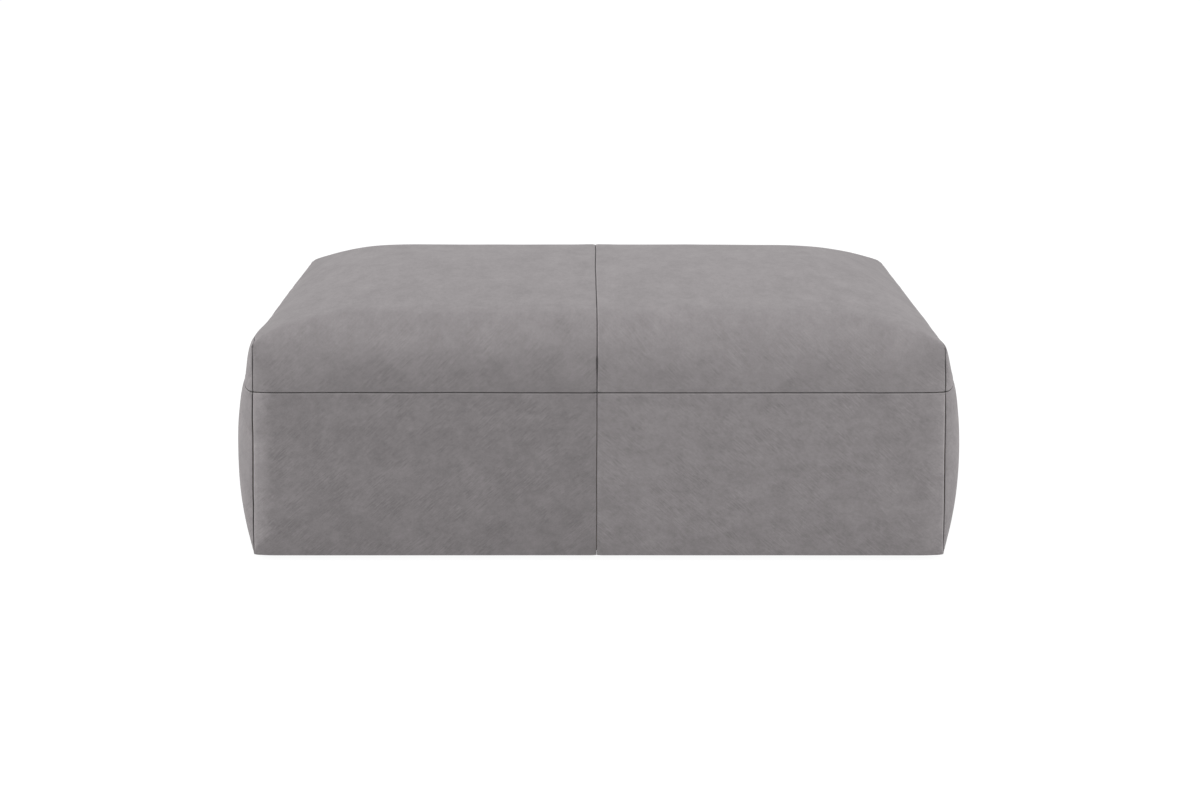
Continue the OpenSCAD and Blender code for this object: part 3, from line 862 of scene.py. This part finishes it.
# How deep the painted seam shade is where it isn't full: all seams of the sides, the upright seams of the
# faces
sideSeams = {"firstRow": 0.6, "lastRow": 0.6, "firstColumn": 0.6, "lastColumn": 0.6}
seamDepths = {
    "front_cover_left": {"firstColumn": 0.85, "lastColumn": 0.6},
    "front_cover_right": {"firstColumn": 0.6, "lastColumn": 0.1},
    "back_cover_left": {"firstColumn": 0.1, "lastColumn": 0.6},
    "back_cover_right": {"firstColumn": 0.6, "lastColumn": 0.85},
    "left_cover_upper": sideSeams,
    "left_cover_lower": sideSeams,
    "right_cover_upper": sideSeams,
    "right_cover_lower": {**sideSeams, "firstColumn": 0.1},
}
restsOn = {
    "top": ["seat_wadding"], "front": ["front_foam_pad"], "back": ["back_foam_pad"],
    "left": ["left_foam_pad"], "right": ["right_foam_pad"],
}


# Area of the cloth cut for a panel
def panelArea(points):
    crossed = np.cross(points[1:, 1:] - points[:-1, :-1], points[1:, :-1] - points[:-1, 1:])
    return round(float(np.linalg.norm(crossed, axis=-1).sum() / 2), 4)


for name, panel in panels.items():
    sewn = settle(sew(panel))
    fields = {
        "clothPlace": panel["places"],
        "facing": paintedShadeFacing(panel["points"], 0 if name.startswith(("left", "right")) else 1),
        "paintedSeamShading": seamShade(panel, paleEdges.get(name, {}), seamDepths.get(name, {})),
    }
    piece = slab(name + "_cloth", sewn, sewn - outward(sewn) * cloth["thickness"], fields)
    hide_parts(name)
    piece.data.materials.append(makeVelvet("velvet_" + name, *tones[name]))
    flat = [round(float(spans(panel["points"], axis)[0].max()), 3) for axis in (1, 0)]
    area, supports = panelArea(panel["points"]), restsOn[name.split("_")[0]]
    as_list(supports)
report("cover sewn")


# Finishes of the pieces inside and below

softLook = {
    "detail": 3.0, "rough": 0.6, "clouds": 14,     # the clouds are this much larger than the fibre
    "fineShare": 1.3, "cloudShare": 0.9, "specular": 0.2, "bump": 0.6, "cloudHeight": 0.5,
}


def makeSoftFinish(name, dark, light, scale, bumpDepth, rough, stretch=(1.0, 1.0, 1.0)):
    finish = newFinish(name)
    place = finish.place() * stretch
    fine = finish.noise(place, scale, softLook["detail"], softLook["rough"])
    clouds = finish.noise(place, scale / softLook["clouds"])
    share = 0.5 + (fine - 0.5) * softLook["fineShare"] + (clouds - 0.5) * softLook["cloudShare"]
    return finish.surface({
        "Base Color": finish.colour(dark, light, share), "Roughness": rough,
        "Specular IOR Level": softLook["specular"],
        "Normal": finish.bump(softLook["bump"], bumpDepth, fine + clouds * softLook["cloudHeight"])})


pine = {
    "light": (0.66, 0.47, 0.27), "dark": (0.47, 0.29, 0.14),
    "grain": (34.0, 1.6),      # per metre across and along the board
    "fibre": (520.0, 9.0),
    "grainRough": 0.45, "fibreRough": 0.6,
    "rings": 46.0,             # how many rings the grain's noise draws
    "ringShare": 0.55, "fibreShare": 0.9, "shareFrom": 0.2,
    "roughness": 0.62, "roughnessRange": 0.25,
    "bumpStrength": 0.4, "bumpDistance": 0.0003, "ringHeight": 0.4,
}


# Wood of a board that lies along X, Y or Z, numbered 0, 1 and 2
def makeWood(name, along):
    finish = newFinish(name)
    place = finish.place()
    grain, fibre = (
        tuple(pine[key][1 if axis == along else 0] for axis in range(3)) for key in ("grain", "fibre"))
    field = finish.noise(place * grain, 1.0, rough=pine["grainRough"])
    rings = finish.sine(field * pine["rings"]) * 0.5 + 0.5
    fibres = finish.noise(place * fibre, 1.0, rough=pine["fibreRough"])
    share = rings * pine["ringShare"] + (fibres - 0.5) * pine["fibreShare"] + pine["shareFrom"]
    height = fibres + rings * pine["ringHeight"]
    return finish.surface({
        "Base Color": finish.colour(pine["light"], pine["dark"], share),
        "Roughness": pine["roughness"] + (fibres - 0.5) * pine["roughnessRange"],
        "Normal": finish.bump(pine["bumpStrength"], pine["bumpDistance"], height)})


zinc = {
    "dark": (0.44, 0.43, 0.41), "light": (0.66, 0.66, 0.65), "brush": 900.0, "brushStretch": (1.0, 1.0, 6.0),
    "stain": 90.0, "roughness": 0.3, "roughnessRange": 0.2,
}


def makeSteel(name):
    finish = newFinish(name)
    brush = finish.noise(finish.place() * zinc["brushStretch"], zinc["brush"])
    stain = finish.noise(finish.place(), zinc["stain"])
    return finish.surface({
        "Base Color": finish.colour(zinc["dark"], zinc["light"], stain), "Metallic": 1.0,
        "Roughness": zinc["roughness"] + brush * zinc["roughnessRange"]})


nylon = {
    "dark": (0.018, 0.018, 0.019), "light": (0.045, 0.045, 0.046), "grain": 1500.0, "scuff": 120.0,
    "scuffStretch": (1.0, 1.0, 0.4), "scuffDetail": 3.0, "scuffRough": 0.6,
    "roughness": 0.42, "roughnessRange": 0.4, "bumpStrength": 0.3, "bumpDistance": 0.0002,
}


def makePlastic(name):
    finish = newFinish(name)
    grain = finish.noise(finish.place(), nylon["grain"])
    place = finish.place() * nylon["scuffStretch"]
    scuff = finish.noise(place, nylon["scuff"], nylon["scuffDetail"], nylon["scuffRough"])
    return finish.surface({
        "Base Color": finish.colour(nylon["dark"], nylon["light"], scuff),
        "Roughness": nylon["roughness"] + (scuff - 0.5) * nylon["roughnessRange"],
        "Normal": finish.bump(nylon["bumpStrength"], nylon["bumpDistance"], grain)})


webbing = {
    "dark": (0.030, 0.027, 0.024), "light": (0.085, 0.078, 0.068),
    "pitch": 0.0022,           # from thread to thread
    "fuzz": 1400.0, "fuzzRough": 0.6, "threadShare": 0.6, "fuzzShare": 0.4,
    "roughness": 0.85, "specular": 0.2, "bumpStrength": 0.6, "bumpDistance": 0.0006, "fuzzHeight": 0.3,
}


# Plain weave of threads that run along X and Y
def makeWoven(name):
    finish = newFinish(name)
    place = finish.place()
    turns = place * (math.pi / webbing["pitch"])
    over, under = (finish.sine(finish.node("SeparateXYZ", {}, {0: turns}, axis)) for axis in (0, 1))
    weave = over * under * 0.5 + 0.5
    fuzz = finish.noise(place, webbing["fuzz"], rough=webbing["fuzzRough"])
    share = weave * webbing["threadShare"] + fuzz * webbing["fuzzShare"]
    height = weave + fuzz * webbing["fuzzHeight"]
    return finish.surface({
        "Base Color": finish.colour(webbing["dark"], webbing["light"], share),
        "Roughness": webbing["roughness"], "Specular IOR Level": webbing["specular"],
        "Normal": finish.bump(webbing["bumpStrength"], webbing["bumpDistance"], height)})


# Frame, screws, staples and glides keep their own solids and get their finish here

boardAlong = {
    "front_frame_board": 0, "back_frame_board": 0, "left_frame_board": 1, "right_frame_board": 1,
    "centre_cross_rail": 1, "corner_block_front_left": 2, "corner_block_front_right": 2,
    "corner_block_back_left": 2, "corner_block_back_right": 2,
}
woods = [makeWood("pine_along_" + axis, number) for number, axis in enumerate("xyz")]
steel = makeSteel("zinc_steel")
plastic = makePlastic("black_glide_plastic")
finishes = {name: woods[along] for name, along in boardAlong.items()}
finishes |= dict.fromkeys(("frame_screws", "webbing_staples", "underside_staples", "glide_screws"), steel)
for name, material in {**finishes, "glides": plastic}.items():
    nodes[name].material_slots[0].material = material
report("frame finished")


# Padding

padding = {
    "lining": 0.0053,       # from the outside of the cover to the wadding
    "wadding": 0.006,
    "gap": 0.0003,
    "edgeGap": 0.007,       # from the edges of a side panel to its pad
    "seamDip": 0.002,       # groove in the wadding under the middle seam
    "seamDipReach": 0.008,
    "coreRound": 0.015,
    "undersideRound": 0.003,
    "endRound": 0.004,      # at the core's ends
    "endClear": 0.02,       # from an end to the first plain ring
    "corePoints": 90,       # points of a ring over the core
    "coreRings": 60,
    "capGap": 0.0005,
    "faceRound": (0.004, 0.012),     # how far a front or back pad draws in at its edges, and over how much
    "step": 0.012,
    "columns": 73,          # points of the wadding and the cap from left to right
    "rows": 120,            # and from front to back
    "faceRows": 24,         # points of a front or back pad upwards
    "waddingUneven": (0.035, 0.0007, 41),     # size, depth and seed of the unevenness
    "capUneven": (0.05, 0.0006, 42),
    "padUneven": (0.04, 0.0006, 50),
}

waddingFoot = float(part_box("seat_wadding")[0][2])
coreLow, coreHigh = (np.array(corner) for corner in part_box("seat_foam_core"))
feltLow, feltHigh = (np.array(corner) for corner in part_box("seat_felt"))
frameX = float(nodes["front_frame_board"].dimensions[0]) / 2
frameY = float(-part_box("front_frame_board")[0][1])


# Cross section of the seat's padding at x, as (y, z), this far inside the outside of the cover
def insetOutline(x, inset, shares):
    sewnX = x * cover["seamX"] / (cover["seamX"] - inset)
    line = seatOutline(sewnX, shares)
    along = unit(np.gradient(line, axis=0))
    deep = inset + padding["seamDip"] * max(0, 1 - abs(x) / padding["seamDipReach"])
    line = line - np.stack([-along[:, 1], along[:, 0]], -1) * deep
    feet = np.linspace(waddingFoot, line[0, 1], 3)[:-1]
    first = np.stack([np.full_like(feet, line[0, 0]), feet], -1)
    last = np.stack([np.full_like(feet, line[-1, 0]), feet[::-1]], -1)
    return np.concatenate([first, line, last])


padX = -frameX * np.cos(np.linspace(0, math.pi, padding["columns"]))


def sectionGrid(outlines):
    return np.stack([np.insert(line, 0, x, axis=1) for line, x in zip(outlines, padX)], 1)


def padSection(inset):
    shares = np.linspace(0, 1, padding["rows"])
    return sectionGrid([insetOutline(x, inset, shares) for x in padX])


# Draws a surface in a little, unevenly, as fibre and foam lie
def soften(points, size, depth, seed):
    uneven = 0.5 + 0.5 * softNoise(points, size, seed)
    return points - outward(points) * (depth * uneven)[..., None]


waddingInset = padding["lining"] + padding["wadding"]
waddingOuter = soften(padSection(padding["lining"]), *padding["waddingUneven"])
waddingInner = padSection(waddingInset)
capOuter = soften(padSection(waddingInset + padding["gap"]), *padding["capUneven"])


# Rounded rectangle in (y, z) over the core
def coreOutline(halfDepth, low, high, count):
    radius = padding["coreRound"]
    angle = np.linspace(0, math.pi / 2, 10)
    arc = np.stack([-halfDepth + radius * (1 - np.cos(angle)), high - radius + radius * np.sin(angle)], -1)
    half = np.concatenate([[[-halfDepth, low]], arc])
    return resample(np.concatenate([half, half[::-1] * [-1, 1]]), np.linspace(0, 1, count))


grown = padding["capGap"]
hollow = coreOutline(coreHigh[1] + grown, waddingFoot, coreHigh[2] + grown, len(capOuter))
capInner = sectionGrid([hollow] * len(padX))

wadding = slab("seat_wadding_layer", waddingOuter, waddingInner)
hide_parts("seat_wadding")
cap = slab("seat_foam_cap_layer", capOuter, capInner)
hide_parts("seat_foam_cap")


# Closed form through rings of points, with flat ends
def loft(name, groups):
    verts, faces = [], []
    for rings in groups:
        count, around = rings.shape[:2]
        index = np.arange(count * around).reshape(count, around) + len(verts)
        turned = np.roll(index, -1, axis=1)
        faces += np.stack([index[:-1], turned[:-1], turned[1:], index[1:]], -1).reshape(-1, 4).tolist()
        faces += [index[0][::-1].tolist(), index[-1].tolist()]
        verts += rings.reshape(-1, 3).tolist()
    return linkMesh(name, verts, faces)


def coreRing(x, inset):
    half, low, high = coreHigh[1] - inset, coreLow[2] + inset, coreHigh[2] - inset
    turn = padding["undersideRound"]
    upper = coreOutline(half, low + turn, high, padding["corePoints"])
    lower = np.array([[half - turn, low], [-half + turn, low]])
    return np.insert(np.concatenate([upper, lower]), 0, x, axis=1)


endRound, coreX = padding["endRound"], coreHigh[0]
turnsIn = [(endRound * (1 - math.sin(a)), endRound * (1 - math.cos(a)))
           for a in np.linspace(0, math.pi / 2, 5)]
rings = [coreRing(-coreX + along, inset) for inset, along in turnsIn]
ringPlace = coreX - padding["endClear"]
rings += [coreRing(x, 0) for x in np.linspace(-ringPlace, ringPlace, padding["coreRings"])]
rings += [coreRing(coreX - along, inset) for inset, along in turnsIn[::-1]]
core = loft("seat_foam_core_block", [np.array(rings)])
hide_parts("seat_foam_core")


# Side pads follow the cover's side panels, front and back pads its faces
def makeSidePad():
    rows = np.concatenate([lowerSide[foldLine:-1], upperSide[1:]])
    points = rows - outward(rows) * padding["lining"]
    foot = points[0, :, 2].min()
    points[..., 1] *= 1 - padding["edgeGap"] / cover["seamY"]
    points[..., 2] = foot + (points[..., 2] - foot) * (1 - padding["edgeGap"] / (cover["edge"] - foot))
    up, over = spans(rows, 0)[0][:, rows.shape[1] // 2], spans(rows, 1)[0][rows.shape[0] // 2]
    outer = points[np.ix_(coarsePick(up, padding["step"]), coarsePick(over, padding["step"]))]
    inner = outer.copy()
    inner[..., 0] = frameX + padding["gap"]
    return outer, inner


def makeFacePad():
    low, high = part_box("front_foam_pad")
    z = np.linspace(low[2], high[2], padding["faceRows"])
    sewnX = padX * cover["seamX"] / (cover["seamX"] - padding["lining"])
    depth = faceDepth(sewnX) - padding["lining"]
    edge = np.minimum(z - z[0], z[-1] - z)
    drawn, over = padding["faceRound"]
    turn = drawn * (1 - smooth(edge / over))
    outer = np.stack(np.broadcast_arrays(padX[None], -(depth[None] - turn[:, None]), z[:, None]), -1)
    inner = outer.copy()
    inner[..., 1] = -(frameY + padding["gap"])
    return outer, inner


def placePad(name, outer, inner, axis, flip):
    sign = np.ones(3)
    if flip:
        sign[axis] = -1
        outer, inner = outer[:, ::-1], inner[:, ::-1]
    size, depth, seed = padding["padUneven"]
    outer = soften(outer * sign, size, depth, seed + len(name))
    piece = slab(name + "_layer", outer, inner * sign)
    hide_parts(name)
    return piece


sidePad, facePad = makeSidePad(), makeFacePad()
pads = [
    placePad("right_foam_pad", *sidePad, 0, False), placePad("left_foam_pad", *sidePad, 0, True),
    placePad("front_foam_pad", *facePad, 1, False), placePad("back_foam_pad", *facePad, 1, True)]

foamFinish = makeSoftFinish("cream_foam", (0.72, 0.64, 0.46), (0.86, 0.80, 0.64), 620.0, 0.0006, 0.9)
waddingFinish = makeSoftFinish(
    "white_wadding", (0.74, 0.74, 0.73), (0.9, 0.9, 0.89), 190.0, 0.0012, 0.95, (1.0, 0.35, 1.0))
for piece in (cap, core, *pads):
    piece.data.materials.append(foamFinish)
wadding.data.materials.append(waddingFinish)
report("padding made")


# Felt, webbing and dust cover

lowerParts = {
    "strapWidth": 0.070,
    "strapThick": 0.0019,
    "strapLift": 0.002,     # how far a long strap goes over or under a cross strap
    "crossCount": 8,        # straps from front to back
    "longCount": 5,         # and from left to right
    "crossLines": 60,       # points along one
    "longLines": 240,
    "strapEase": 0.002,     # how far past a strap's edge the one over it stays level
    "edgeRound": 0.0008,
    "feltStep": 0.012,
    "feltUneven": 0.0004,
    "feltNoise": (0.03, 61),     # size and seed
    "dustStep": 0.010,
    "dustThick": 0.0008,
    "sag": 0.0022,          # of the dust cover where nothing holds it
    "sagNoise": (0.20, 71),
    "wrinkleNoise": (0.05, 72),
    "boardEdge": (0.024, 0.05),  # from the frame's outside to where it hangs free, and over how much
    "railEdge": (0.012, 0.06),   # the same from the middle of the rail
    "glideEdge": (0.035, 0.05),  # and from a glide
    "glideAt": (0.4999, 0.3379),
}
frameTop = float(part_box("front_frame_board")[1][2])
innerX = float(-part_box("corner_block_front_left")[0][0])
innerY = float(-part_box("corner_block_front_left")[0][1])


def flatGrid(halfX, halfY, z, step):
    xs = np.linspace(-halfX, halfX, round(2 * halfX / step) + 1)
    ys = np.linspace(-halfY, halfY, round(2 * halfY / step) + 1)
    x, y = np.meshgrid(xs, ys)
    return np.stack([x, y, np.full_like(x, z)], -1)


feltTop = flatGrid(feltHigh[0], feltHigh[1], feltHigh[2], lowerParts["feltStep"])
feltBottom = flatGrid(feltHigh[0], feltHigh[1], feltLow[2], lowerParts["feltStep"])
feltTop[..., 2] -= lowerParts["feltUneven"] * (0.5 + 0.5 * softNoise(feltTop, *lowerParts["feltNoise"]))
felt = slab("seat_felt_layer", feltTop, feltBottom)
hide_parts("seat_felt")
felt.data.materials.append(makeSoftFinish(
    "grey_felt", (0.17, 0.18, 0.18), (0.34, 0.35, 0.35), 420.0, 0.0006, 0.95))


# One strap along its middle line, its width across that line and level
def strapRings(line, sideways):
    half, thick, turn = lowerParts["strapWidth"] / 2, lowerParts["strapThick"], lowerParts["edgeRound"]
    section = np.array([
        (-half, turn), (-half + turn, 0), (0, 0), (half - turn, 0), (half, turn), (half, thick - turn),
        (half - turn, thick), (0, thick), (-half + turn, thick), (-half, thick - turn)])
    across, up = section[None, :, :1] * np.array(sideways), section[None, :, 1:] * np.array([0, 0, 1])
    return line[:, None] + across + up


# Middles of straps that share the room between the corner blocks
def strapMiddles(count, half):
    return (np.arange(count) - (count - 1) / 2) * (2 * half / count)


def crossStraps():
    y = np.linspace(-frameY, frameY, lowerParts["crossLines"])
    for x in strapMiddles(lowerParts["crossCount"], innerX):
        yield strapRings(np.stack([np.full_like(y, x), y, np.full_like(y, frameTop)], -1), (1, 0, 0))


def longStraps():
    x = np.linspace(-frameX, frameX, lowerParts["longLines"])
    level = lowerParts["strapWidth"] / 2 + lowerParts["strapEase"]
    for number, y in enumerate(strapMiddles(lowerParts["longCount"], innerY)):
        knots, heights = [-frameX, -innerX], [0, 0]
        for k, place in enumerate(strapMiddles(lowerParts["crossCount"], innerX)):
            knots += [place - level, place + level]
            heights += [lowerParts["strapLift"] * (1 if (number + k) % 2 == 0 else -1)] * 2
        knots += [innerX, frameX]
        heights = np.array(heights + [0, 0])
        at = np.interp(x, knots, np.arange(len(knots)))
        low = np.floor(at).astype(int).clip(0, len(knots) - 2)
        z = mix(heights[low], heights[low + 1], smooth(at - low))
        yield strapRings(np.stack([x, np.full_like(x, y), frameTop + z], -1), (0, -1, 0))


webbingFinish = makeWoven("dark_webbing")
for name, groups in (("cross_webbing", crossStraps()), ("long_webbing", longStraps())):
    straps = loft(name + "_straps", list(groups))
    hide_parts(name)
    straps.data.materials.append(webbingFinish)


# From 0 to 1 from a start over a length, both given in a pair
def comesIn(distance, pair):
    return smooth((distance - pair[0]) / pair[1])


dustHigh = np.array(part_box("dust_cover")[1])
dustTop = flatGrid(*dustHigh, lowerParts["dustStep"])
x, y = np.abs(dustTop[..., 0]), np.abs(dustTop[..., 1])
glideX, glideY = lowerParts["glideAt"]
free = comesIn(frameX - x, lowerParts["boardEdge"]) * comesIn(frameY - y, lowerParts["boardEdge"])
fromGlide = np.hypot(x - glideX, y - glideY)
free *= comesIn(x, lowerParts["railEdge"]) * comesIn(fromGlide, lowerParts["glideEdge"])
sagging, wrinkles = (softNoise(dustTop, *lowerParts[key]) for key in ("sagNoise", "wrinkleNoise"))
dustTop[..., 2] -= lowerParts["sag"] * free * (0.65 + 0.35 * sagging + 0.15 * wrinkles)
dust = slab("dust_cover_sheet", dustTop, dustTop - [0, 0, lowerParts["dustThick"]])
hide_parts("dust_cover")
dust.data.materials.append(makeSoftFinish(
    "black_dust_cloth", (0.012, 0.012, 0.013), (0.045, 0.045, 0.047), 500.0, 0.0003, 0.8))
report("felt, webbing and dust cover made")


# Floor

floorLook = {
    "tone": (0.86, 0.86, 0.86),
    "seenGlow": 0.94,       # white that the camera sees, on which only a faint shadow shows
    "seenTone": (0.14, 0.14, 0.14),
    "size": 60,
}

floorMesh = bpy.data.meshes.new("floor")
half = floorLook["size"] / 2
floorCorners = [(-half, -half, 0), (half, -half, 0), (half, half, 0), (-half, half, 0)]
floorMesh.from_pydata(floorCorners, [], [(0, 1, 2, 3)])
floor = bpy.data.objects.new("floor", floorMesh)
scene.collection.objects.link(floor)


def makeFloorFinish():
    finish = newFinish("pale_floor")
    straight, mirror, through = (
        finish.node("LightPath", {}, {}, f"Is {kind} Ray") for kind in ("Camera", "Glossy", "Transmission"))
    plain, faint = (finish.node("BsdfDiffuse", {}, {"Color": floorLook[key]}) for key in ("tone", "seenTone"))
    white = finish.node("Emission", {}, {"Color": (1.0, 1.0, 1.0), "Strength": floorLook["seenGlow"]})
    seen = finish.node("AddShader", {}, {0: faint, 1: white})
    return finish.end(finish.node("MixShader", {}, {0: straight + mirror + through, 1: plain, 2: seen}))


floorMesh.materials.append(makeFloorFinish())


# Light

light = {
    "world": 0.62,          # strength of the white all round, which the camera sees as plain white
    "lamps": {
        # place, aimed at, size, power
        "above": ((0.0, 0.2, 3.2), (0.0, 0.1, 0.3), 3.0, 31.0),
        "left": ((-3.2, -0.8, 1.3), (-0.4, 0.0, 0.2), 2.0, 37.0),
        "right": ((3.2, -0.8, 1.3), (0.4, 0.0, 0.2), 2.0, 32.0),
        "front": ((0.5, -3.8, 1.1), (0.0, -0.3, 0.2), 2.0, 8.0),
    },
}

scene.world = bpy.data.worlds.new("studio")
sky = Finish(scene.world)
brightness = sky.node("MapRange", {}, {
    "Value": sky.node("LightPath", {}, {}, "Is Camera Ray"), "To Min": light["world"], "To Max": 1.0})
sky.end(sky.node("Background", {}, {"Color": (1.0, 1.0, 1.0), "Strength": brightness}), "OutputWorld")

for name, (place, aim, size, power) in light["lamps"].items():
    data = bpy.data.lights.new(name, "AREA")
    data.shape = "SQUARE"
    data.size = size
    data.energy = power
    lamp = bpy.data.objects.new(name, data)
    lamp.location = place
    lamp.rotation_euler = (Vector(aim) - Vector(place)).to_track_quat("-Z", "Y").to_euler()
    scene.collection.objects.link(lamp)

scene.view_settings.view_transform = "Standard"

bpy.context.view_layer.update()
report("finished")
